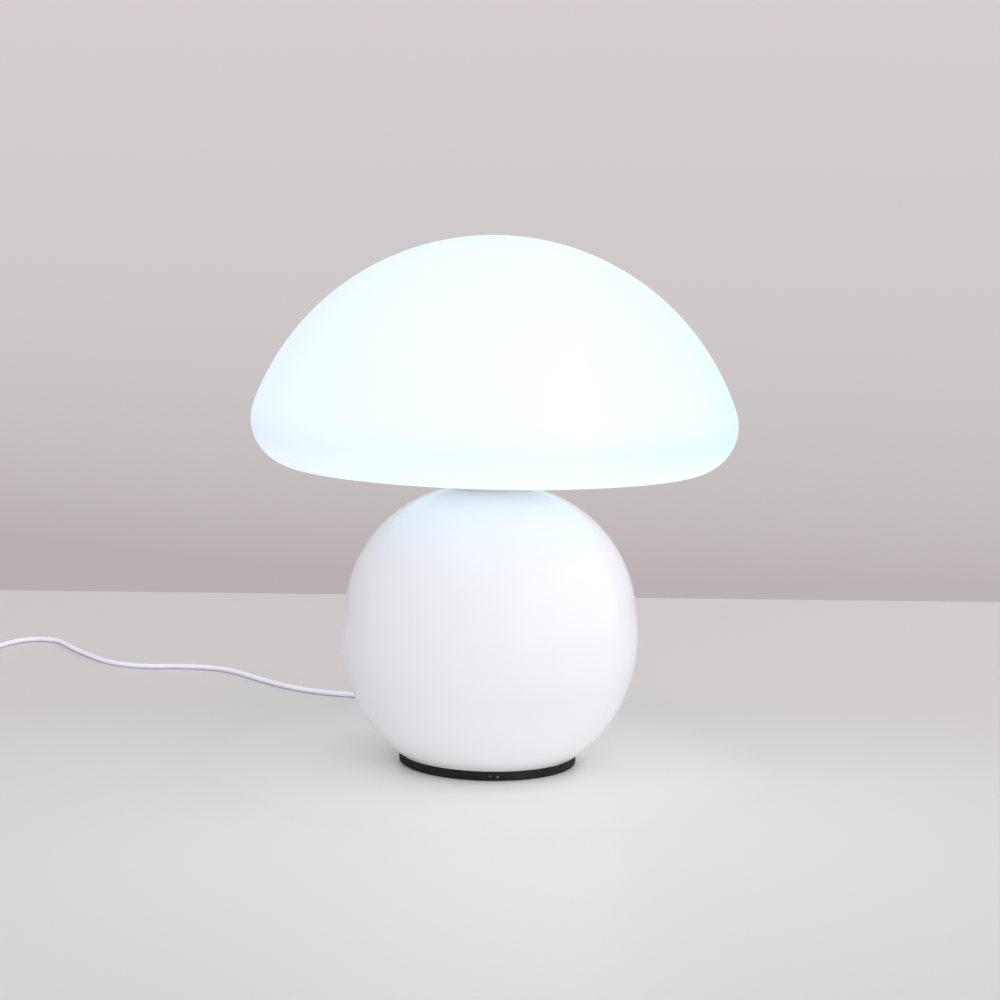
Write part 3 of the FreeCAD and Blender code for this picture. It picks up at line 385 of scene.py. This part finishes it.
def makeGlobe(values):
    bowlCentre = (values["radius"] - values["bowl"], values["widestLevel"])
    beltCentre = (values["radius"] - values["belt"], values["widestLevel"])
    turn = math.radians(values["beltAngle"])
    reach = values["belt"] - values["shoulder"]
    shoulderCentre = (beltCentre[0] + reach * math.cos(turn), beltCentre[1] + reach * math.sin(turn))

    def skin(inset, low, highRadius):
        step = values["step"]
        lowAngle = math.degrees(math.asin((low - values["widestLevel"]) / (values["bowl"] - inset)))
        top = math.degrees(math.acos((highRadius - shoulderCentre[0]) / (values["shoulder"] - inset)))
        spots = arcPoints(bowlCentre, values["bowl"] - inset, lowAngle, 0, step)
        spots += arcPoints(beltCentre, values["belt"] - inset, 0, values["beltAngle"], step)[1:]
        return spots + arcPoints(shoulderCentre, values["shoulder"] - inset, values["beltAngle"], top,
                                 step)[1:]

    outer = skin(0.0, values["base"], values["neckFlat"])
    inner = skin(values["wall"], values["floor"], values["topHole"] + values["wall"])
    profile = outer + [(values["topHole"], outer[-1][1]), (values["topHole"], inner[-1][1])]
    profile += inner[::-1]
    profile += [(values["opening"], values["floor"]), (values["opening"], values["pocketTop"]),
                (values["pocket"], values["pocketTop"]), (values["pocket"], values["base"])]
    piece = turnedPiece("globeGlazed", profile, paint("whiteGlaze", glazeRecipe), values["around"])
    drill = bmesh.new()
    bmesh.ops.create_cone(drill, cap_ends=True, segments=leadExit["around"], radius1=leadExit["hole"],
                          radius2=leadExit["hole"], depth=4 * values["wall"])
    cutter = bpy.data.meshes.new("drill")
    drill.to_mesh(cutter)
    drill.free()
    laidAlong(cutter, exitPlace, exitWay)
    tool = addMesh("drill", cutter)
    cut = piece.modifiers.new("leadHole", "BOOLEAN")
    cut.object = tool
    cut.solver = "EXACT"
    piece = frozen(piece, "globeGlazed")
    bpy.data.objects.remove(tool)
    tidyMesh(piece)
    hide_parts("base_globe")
    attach(piece, "base")
    print("globe made:", len(piece.data.polygons), "faces")


makeGlobe(globe)


# Moulded plastic and rubber in a given colour
def mouldedRecipe(colour, rough, grain=0.00003):
    def recipe(make):
        place = make.place()
        cloud = make.noise(place, 45.0, 4.0, 0.55)
        fine = make.noise(place, 1100.0, 2.0)
        other = rgb(*[value * 0.93 for value in colour])
        return {"Base Color": make.tint(make.within(cloud, 0.3, 0.75), rgb(*colour), other),
                "Roughness": make.within(cloud + fine * 0.5, 0.4, 1.1, rough - 0.04, rough + 0.08),
                "IOR": 1.5, "Normal": make.bump(fine, grain)}
    return recipe


# Strain relief in the globe's back: flange against the glaze, then a tapered tail with grooves
relief = {"flange": 0.0065, "low": 0.0004, "thick": 0.0018, "fillet": 0.4, "lowBevel": 0.0002,
          "shank": 0.0043, "root": 0.0037, "tip": 0.0023, "tail": 0.003, "bore": 0.0016, "grooves": 5,
          "deep": 0.0005, "wide": 0.0011, "from": 0.006, "step": 0.0003, "crisp": 50.0, "around": 96,
          "colour": (0.84, 0.83, 0.88), "rough": 0.4}


def makeRelief(values):
    top = values["low"] + values["thick"]
    slope = (values["root"] - values["tip"]) / (leadExit["relief"] - top)
    edge = values["thick"] * values["fillet"]
    inner = -globe["wall"] - values["tail"]
    profile = [(values["bore"], inner), (values["shank"], inner), (values["shank"], values["low"]),
               (values["flange"] - values["lowBevel"], values["low"])]
    profile += arcPoints((values["flange"] - edge, top - edge), edge, 0, 90, values["step"])
    profile += arcPoints((values["root"] + edge, top + edge), edge, -90, -180, values["step"])[1:]
    pitch = (leadExit["relief"] - values["from"]) / values["grooves"]
    for k in range(values["grooves"]):
        middle = values["from"] + k * pitch
        outer = values["root"] - slope * (middle - top)
        half = values["wide"] / 2
        # a groove's section, as shares of its depth and of its half width
        for depth, across in ((0, -1), (0.3, -0.75), (1, -0.35), (1, 0.35), (0.3, 0.75), (0, 1)):
            profile.append((outer - values["deep"] * depth, middle + half * across))
    end = leadExit["relief"]
    bevel = values["step"]
    profile += [(values["tip"], end - bevel), (values["tip"] - bevel * 0.3, end - bevel * 0.3),
                (values["tip"] - bevel, end), (values["bore"], end)]
    material = paint("reliefSoft", mouldedRecipe(values["colour"], values["rough"]))
    piece = turnedPiece("reliefMoulded", profile, material, values["around"], values["crisp"])
    laidAlong(piece.data, exitPlace, exitWay)
    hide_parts("strain_relief")
    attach(piece, "base")


makeRelief(relief)


# Foot pad: dense black foam with fine pale specks
foot = {"radius": 0.0462, "height": 0.005, "edge": 0.0012, "side": (0.003, 0.0046), "topBevel": 0.0004,
        "rings": 6, "step": 0.0004, "around": 256, "black": rgb(0.019, 0.0165, 0.0165),
        "worn": rgb(0.034, 0.03, 0.03), "speck": rgb(0.55, 0.54, 0.53), "speckScale": 330.0,
        "speckBand": (0.16, 0.06), "rough": (0.7, 0.9), "bump": 0.00012}


def footRecipe(make):
    place = make.place()
    grain = make.noise(place, 700.0, 4.0, 0.6)
    cells = make.cells(place, foot["speckScale"])
    chosen = make.within(make.noise(place, 90.0, 2.0), 0.5, 0.56)
    speck = make.within(cells, *foot["speckBand"]) * chosen
    dust = make.within(make.noise(place, 60.0, 5.0), 0.45, 0.75)
    dark = make.tint(make.within(grain * 0.6 + dust * 0.4, 0.3, 0.8), foot["black"], foot["worn"])
    return {"Base Color": make.tint(speck, dark, foot["speck"]),
            "Roughness": make.within(grain, 0.3, 0.7, *foot["rough"]), "IOR": 1.45,
            "Specular IOR Level": 0.1, "Normal": make.bump(grain + cells * 0.6, foot["bump"])}


def makeFoot(values):
    edge = values["edge"]
    rings = values["rings"]
    corner = (values["radius"] - edge, edge)
    profile = [(corner[0] * k / rings, 0.0) for k in range(rings)]
    profile += arcPoints(corner, edge, -90, 0, values["step"])
    profile += [(values["radius"], level) for level in values["side"]]
    profile += [(values["radius"] - values["topBevel"], values["height"])]
    profile += [(values["radius"] * (1 - k / rings), values["height"]) for k in range(1, rings + 1)]
    piece = turnedPiece("footFoam", profile, paint("blackFoam", footRecipe), values["around"])
    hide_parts("foot_pad")
    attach(piece, "base")


makeFoot(foot)


# Cord: one curve from the globe to the switch, another from the switch through the coil to the plug
cord = {"radius": 0.0015, "leadIn": 0.013, "order": 3, "bevelSteps": 5, "curveSteps": 6, "bump": 0.00003,
        "rough": (0.34, 0.5), "jacket": rgb(0.9, 0.875, 1.0), "jacketPale": rgb(0.93, 0.905, 1.0)}
switch = {"centre": (-0.3386, 0.193), "heading": 260.0, "length": 0.058, "split": 0.0075}
plug = {"centre": (-0.336, -0.038), "heading": 283.0, "length": 0.036, "relief": 0.024,
        "level": 0.00685}
coil = {"centre": (-0.328, 0.092), "outer": 0.0217, "pitch": 0.0035, "layers": 4, "layerTurns": 2.5,
        "climb": 0.5, "base": 0.0024, "start": 170.0, "perTurn": 24, "stub": 0.003}
runRoute = [(-0.021, 0.114), (-0.034, 0.136), (-0.06, 0.149), (-0.088, 0.152), (-0.116, 0.166),
            (-0.14, 0.192), (-0.163, 0.222), (-0.19, 0.228), (-0.217, 0.223), (-0.239, 0.234),
            (-0.258, 0.26), (-0.274, 0.286), (-0.284, 0.305), (-0.296, 0.3095), (-0.308, 0.305),
            (-0.3165, 0.289), (-0.323, 0.267)]
switchRise = (-0.327, 0.249, 0.004)      # the cord leaves the table on its way up to the switch
linkRoute = [(-0.3476, 0.134, 0.003), (-0.3483, 0.124, 0.0024)]
tailRoute = [(-0.354, 0.065, 0.0075), (-0.3545, 0.048, 0.0015), (-0.352, 0.032, 0.0015)]


def jacketRecipe(make):
    place = make.place()
    cloud = make.noise(place, 70.0, 4.0, 0.6)
    scuff = make.within(make.noise(place, 420.0, 3.0), 0.58, 0.75)
    return {"Base Color": make.tint(make.within(cloud, 0.3, 0.7), cord["jacket"], cord["jacketPale"]),
            "Roughness": make.within(scuff, 0.0, 1.0, *cord["rough"]), "IOR": 1.5,
            "Normal": make.bump(make.noise(place, 900.0, 2.0) + cloud * 2.0, cord["bump"])}


def heading(angle):
    return Vector((math.cos(math.radians(angle)), math.sin(math.radians(angle)), 0))


def coilClimb(turn):
    # layers climbed so far: each climb takes a part of a turn about a reversal
    layer = round(turn / coil["layerTurns"])
    if layer < 1 or layer > coil["layers"] - 1:
        return float(min(max(layer, 0), coil["layers"] - 1))
    step = (turn - layer * coil["layerTurns"]) / coil["climb"] + 0.5
    if step <= 0 or step >= 1:
        return float(layer - 1 if step <= 0 else layer)
    return layer - 1 + step * step * (3 - 2 * step)


def coilSpot(turn):
    phase = (turn / coil["layerTurns"]) % 2
    inward = phase if phase <= 1 else 2 - phase
    radius = coil["outer"] - coil["pitch"] * coil["layerTurns"] * inward
    radius /= (1 + math.cos(math.pi / coil["perTurn"])) / 2     # the curve runs inside its points
    spot = heading(coil["start"] + 360 * turn) * radius + Vector((*coil["centre"], 0))
    spot.z = coil["base"] + coil["pitch"] * coilClimb(turn)
    return spot


def cordCurve(name, spots, material):
    curve = bpy.data.curves.new(name, "CURVE")
    curve.dimensions = "3D"
    curve.bevel_depth = cord["radius"]
    curve.bevel_resolution = cord["bevelSteps"]
    curve.resolution_u = cord["curveSteps"]
    curve.use_fill_caps = True
    line = curve.splines.new("NURBS")
    line.points.add(len(spots) - 1)
    for point, spot in zip(line.points, spots):
        point.co = (*spot, 1)
    line.order_u = cord["order"]
    line.use_endpoint_u = True
    curve.materials.append(material)
    piece = bpy.data.objects.new(name, curve)
    bpy.context.scene.collection.objects.link(piece)
    return piece


def makeCord():
    jacket = paint("cordJacket", jacketRecipe)
    way = heading(switch["heading"])
    middle = Vector((*switch["centre"], switch["split"]))
    switchIn = middle - way * (switch["length"] / 2)
    switchOut = middle + way * (switch["length"] / 2)
    plugWay = heading(plug["heading"])
    plugIn = Vector((*plug["centre"], plug["level"])) - plugWay * (plug["length"] / 2 + plug["relief"])
    start = exitPlace + exitWay * leadExit["relief"]
    landing = exitPlace + exitWay * ((leadExit["level"] - cord["radius"]) / -exitWay.z)
    spots = [start, landing] + [Vector((*spot, cord["radius"])) for spot in runRoute]
    spots += [Vector(switchRise), switchIn - way * cord["leadIn"], switchIn]
    run = cordCurve("cordToSwitch", spots, jacket)
    turns = coil["layers"] * coil["layerTurns"]
    count = round(turns * coil["perTurn"])
    rounds = [coilSpot(turns * k / count) for k in range(count + 1)]
    inWay = (rounds[1] - rounds[0]).normalized()
    outWay = (rounds[-1] - rounds[-2]).normalized()
    spots = [switchOut, switchOut + way * cord["leadIn"]] + [Vector(spot) for spot in linkRoute]
    spots += [rounds[0] - inWay * (cord["leadIn"] + coil["stub"]), rounds[0] - inWay * coil["stub"]]
    spots += rounds + [rounds[-1] + outWay * coil["stub"],
                       rounds[-1] + outWay * (cord["leadIn"] + coil["stub"])]
    spots += [Vector(spot) for spot in tailRoute] + [plugIn - plugWay * cord["leadIn"], plugIn]
    rest = cordCurve("cordToPlug", spots, jacket)
    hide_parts("cord_run")
    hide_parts("cord_link", "cord_coil", "cord_tail")
    for piece in (run, rest):
        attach(piece, "base")
    return run, rest, list(start), list(switchOut)


cordRun, cordRest, runStart, restStart = makeCord()
print("cord laid")


# Finishes of the nodes that keep their own shape
def metalRecipe(colour, rough, dull=0.8):
    def recipe(make):
        place = make.place()
        fine = make.noise(place, 500.0, 3.0)
        stain = make.within(make.noise(place, 90.0, 5.0, 0.65), 0.4, 0.72)
        other = rgb(*[value * dull for value in colour])
        return {"Base Color": make.tint(stain, rgb(*colour), other), "Metallic": 1.0,
                "Roughness": make.within(stain * 0.6 + fine * 0.4, 0.1, 0.8, rough - 0.06, rough + 0.14),
                "Normal": make.bump(fine, 0.00002)}
    return recipe


finishes = {
    "fitting_plastic": mouldedRecipe((0.8, 0.79, 0.83), 0.3),
    "white_phenolic": mouldedRecipe((0.82, 0.82, 0.8), 0.26),
    "bulb_white": mouldedRecipe((0.84, 0.84, 0.84), 0.42),
    "board_white": mouldedRecipe((0.78, 0.8, 0.8), 0.4),
    "board_green": mouldedRecipe((0.03, 0.2, 0.09), 0.32),
    "chip_phosphor": mouldedRecipe((0.85, 0.72, 0.2), 0.2),
    "black_insulator": mouldedRecipe((0.02, 0.02, 0.022), 0.15),
    "sleeve_black": mouldedRecipe((0.022, 0.022, 0.024), 0.5),
    "white_rubber": mouldedRecipe((0.74, 0.74, 0.75), 0.6),
    "clear_silicone": mouldedRecipe((0.8, 0.82, 0.84), 0.45),
    "steatite": mouldedRecipe((0.78, 0.76, 0.7), 0.7, 0.00006),
    "lead_jacket": jacketRecipe,
    "wire_brown": mouldedRecipe((0.2, 0.08, 0.03), 0.35),
    "wire_blue": mouldedRecipe((0.05, 0.14, 0.45), 0.35),
    "white_lacquer": mouldedRecipe((0.82, 0.82, 0.84), 0.22, 0.00005),
    "zinc_steel": metalRecipe((0.62, 0.63, 0.65), 0.3),
    "cast_weight": metalRecipe((0.12, 0.12, 0.125), 0.55, 0.6),
    "threaded_brass": metalRecipe((0.75, 0.56, 0.26), 0.28, 0.75),
    "bulb_aluminium": metalRecipe((0.78, 0.79, 0.8), 0.24),
    "solder": metalRecipe((0.6, 0.61, 0.63), 0.4),
    "plated_pin": metalRecipe((0.72, 0.7, 0.65), 0.16, 0.9),
}


diffuser = {"pale": rgb(0.5, 0.52, 0.54), "deep": rgb(0.46, 0.49, 0.51), "rough": (0.45, 0.55),
            "glow": rgb(0.95, 0.98, 1.0), "glowDeep": rgb(0.88, 0.95, 1.0), "strength": 0.8}


def diffuserRecipe(make):
    place = make.place()
    cloud = make.noise(place, 40.0, 3.0)
    return {"Base Color": make.tint(cloud, diffuser["pale"], diffuser["deep"]),
            "Roughness": make.within(cloud, 0.3, 0.7, *diffuser["rough"]),
            "Emission Color": make.tint(cloud, diffuser["glow"], diffuser["glowDeep"]),
            "Emission Strength": diffuser["strength"],
            "Normal": make.bump(make.noise(place, 1400.0, 2.0), 0.00003)}


dish = {"pale": rgb(0.84, 0.87, 0.89), "deep": rgb(0.8, 0.84, 0.86), "rough": (0.3, 0.4),
        "glow": rgb(0.11, 0.14, 0.15), "paintedLightBright": rgb(0.27, 0.325, 0.345), "brightBand": (0.012, 0.03)}


def milkRecipe(make):
    # milky plastic whose glow is painted light from the bulb, brighter outside a painted shadow of the
    # holder
    place = make.place()
    x, y, z = make.axes(place)
    cloud = make.noise(place, 60.0, 2.0)
    paintedBulbLight = make.within((x * x + y * y) ** 0.5, *dish["brightBand"])
    return {"Base Color": make.tint(cloud, dish["pale"], dish["deep"]),
            "Roughness": make.within(cloud, 0.3, 0.7, *dish["rough"]),
            "Emission Color": make.tint(paintedBulbLight, dish["glow"], dish["paintedLightBright"]),
            "Emission Strength": 1.0, "Normal": make.bump(make.noise(place, 900.0, 1.0), 0.00002)}


finishes["bulb_opal"] = diffuserRecipe
finishes["milky_dish"] = milkRecipe
slotOf = {part["node"]: part["material_slot"] for part in frame["record"]["subparts"]}
made = {}
for name, node in nodes.items():
    slot = slotOf[name]
    if slot not in finishes:
        continue
    if slot not in made:
        made[slot] = paint(slot, finishes[slot])
    node.data.materials.clear()
    node.data.materials.append(made[slot])
print("nodes finished:", len(made), "finishes")


# Table top with its back edge, the ground below it and a wall well behind
table = {"edge": ((-9.0, -0.03), (9.0, 1.1025)), "front": -14.0, "thick": 0.02,
         "near": rgb(0.665, 0.658, 0.675), "far": rgb(0.637, 0.625, 0.617), "awayBand": (-0.03, 0.14),
         "pale": rgb(0.775, 0.775, 0.78), "paintedPoolPlace": 0.08, "paintedPoolBand": (0.34, 0.06),
         "paintedLightRing": rgb(0.86, 0.86, 0.86), "paintedLightRingBand": (0.15, 0.05), "rough": (0.34, 0.4), "bump": 0.00001}
backdrop = {"ground": -0.72, "groundThick": 0.05, "groundHalf": 16, "place": 3.2, "half": 8, "thick": 0.1,
            "top": 3.5, "high": rgb(0.708, 0.65, 0.652), "middle": rgb(0.638, 0.59, 0.592),
            "highBand": (0.3, 1.1), "low": rgb(0.485, 0.44, 0.442), "lowBand": (0.3, -0.4),
            "acrossBand": (-0.95, 0.95, 1.2, 0.82)}


def tableRecipe(make):
    place = make.place()
    x, y, z = make.axes(place)
    cloud = make.noise(place, 2.2, 3.0)
    # painted reflection: the table turns darker and warmer towards its back edge, where it mirrors the
    # darker wall
    away = make.within(y + (cloud - 0.5) * 0.06, *table["awayBand"])
    # painted light: a pale pool on the table round the lamp, and a paler ring that fills in the shade round
    # its foot
    paintedPoolDistance = (x * x + (y + table["paintedPoolPlace"]) ** 2.0) ** 0.5
    pale = make.within(paintedPoolDistance, *table["paintedPoolBand"]) * (1.0 - away)
    fine = make.noise(place, 900.0, 2.0)
    paintedRingMask = make.within((x * x + y * y) ** 0.5, *table["paintedLightRingBand"])
    colour = make.tint(pale, make.tint(away, table["near"], table["far"]), table["pale"])
    return {"Base Color": make.tint(paintedRingMask, colour, table["paintedLightRing"]),
            "Roughness": make.within(fine, 0.3, 0.7, *table["rough"]), "Specular IOR Level": 0.5,
            "Normal": make.bump(fine, table["bump"])}


def wallPainting():
    # plain backdrop: its own colour to the camera and in reflections, a matt surface to all other rays
    material = bpy.data.materials.new("wall")
    material.use_nodes = True
    tree = material.node_tree
    tree.nodes.clear()
    make = NodeMaker(tree)
    place = make.place()
    x, y, z = make.axes(place)
    # painted light and shade: the wall is lighter high up and darker low down, darkest low on the left
    level = z + (make.noise(place, 0.6, 2.0) - 0.5) * 0.1
    high = make.tint(make.within(level, *backdrop["highBand"]), backdrop["middle"], backdrop["high"])
    paintedLowShade = make.within(level, *backdrop["lowBand"]) ** 2.0 * make.within(x, *backdrop["acrossBand"])
    colour = make.tint(paintedLowShade, high, backdrop["low"])
    ray = make.node("ShaderNodeLightPath")
    outlets = ray.socket.node.outputs
    seen = Wire(make, outlets["Is Camera Ray"]) + Wire(make, outlets["Is Glossy Ray"])
    seen = seen + Wire(make, outlets["Is Transmission Ray"])
    matt = make.node("ShaderNodeBsdfDiffuse", None, {"Color": colour})
    shown = make.node("ShaderNodeEmission", None, {"Color": colour, "Strength": 1.0})
    mixed = make.node("ShaderNodeMixShader", None, {0: make.within(seen, 0.0, 1.0), 1: matt, 2: shown})
    make.node("ShaderNodeOutputMaterial", None, {"Surface": mixed})
    return material


def slab(name, corners, low, high, material):
    work = bmesh.new()
    base = [work.verts.new((x, y, low)) for x, y in corners]
    roof = [work.verts.new((x, y, high)) for x, y in corners]
    work.faces.new(base[::-1])
    work.faces.new(roof)
    for k in range(len(corners)):
        work.faces.new([base[k], base[(k + 1) % len(corners)], roof[(k + 1) % len(corners)], roof[k]])
    mesh = bpy.data.meshes.new(name)
    work.to_mesh(mesh)
    work.free()
    mesh.materials.append(material)
    return addMesh(name, mesh)


def makeStage(tableValues, wallValues):
    (leftX, leftY), (rightX, rightY) = tableValues["edge"]
    front = tableValues["front"]
    top = slab("tableTop", [(leftX, front), (rightX, front), (rightX, rightY), (leftX, leftY)],
               -tableValues["thick"], 0.0, paint("tableTop", tableRecipe))
    wallPaint = wallPainting()
    place = wallValues["place"]
    floor = wallValues["ground"]
    half = wallValues["groundHalf"]
    ground = slab("ground", [(-half, -half), (half, -half), (half, place), (-half, place)],
                  floor - wallValues["groundThick"], floor, wallPaint)
    half = wallValues["half"]
    back = place + wallValues["thick"]
    wall = slab("wall", [(-half, place), (half, place), (half, back), (-half, back)],
                floor, wallValues["top"], wallPaint)


makeStage(table, backdrop)


# Soft studio light
lamps = {"key": {"place": (1.95, -0.77, 0.75), "aim": (0, 0, 0.1), "size": (5.2, 2.0), "watts": 20.0,
                 "colour": (1.0, 0.98, 1.0), "mirrored": True},
         "side": {"place": (2.2, 1.2, 0.6), "aim": (0, 0, 0.08), "size": (1.6, 1.2), "watts": 9.0,
                  "colour": (1.0, 0.99, 1.0), "mirrored": False},
         "fill": {"place": (-2.4, -1.6, 0.9), "aim": (0, 0, 0.1), "size": (2.0, 1.6), "watts": 3.0,
                  "colour": (0.98, 0.98, 1.0), "mirrored": False},
         "front": {"place": (0.6, -3.4, 0.52), "aim": (0, 0, 0.08), "size": (5.0, 0.84), "watts": 25.0,
                   "colour": (1.0, 0.985, 1.0), "mirrored": False},
         "overhead": {"place": (0.2, -0.4, 2.6), "aim": (0, -0.1, 0), "size": (3.0, 3.0), "watts": 6.0,
                      "colour": (1.0, 0.99, 0.99), "mirrored": False}}
studio = {"colour": rgb(1.0, 0.985, 0.99), "strength": 0.86}


def makeLights(values):
    for name, lamp in values.items():
        data = bpy.data.lights.new(name, "AREA")
        data.shape = "RECTANGLE"
        data.size, data.size_y = lamp["size"]
        data.energy = lamp["watts"]
        data.color = lamp["colour"]
        body = bpy.data.objects.new(name, data)
        body.visible_glossy = lamp["mirrored"]
        place = Vector(lamp["place"])
        body.matrix_world = Matrix.Translation(place) @ (
            Vector(lamp["aim"]) - place).to_track_quat("-Z", "Y").to_matrix().to_4x4()
        bpy.context.scene.collection.objects.link(body)
    world = bpy.data.worlds.new("studio")
    bpy.context.scene.world = world
    world.use_nodes = True
    tree = world.node_tree
    tree.nodes.clear()
    make = NodeMaker(tree)
    sky = make.node("ShaderNodeBackground", None,
                    {"Color": studio["colour"], "Strength": studio["strength"]})
    make.node("ShaderNodeOutputWorld", None, {"Surface": sky})


makeLights(lamps)
bpy.context.scene.view_settings.view_transform = "Standard"
print("stage and lights set")
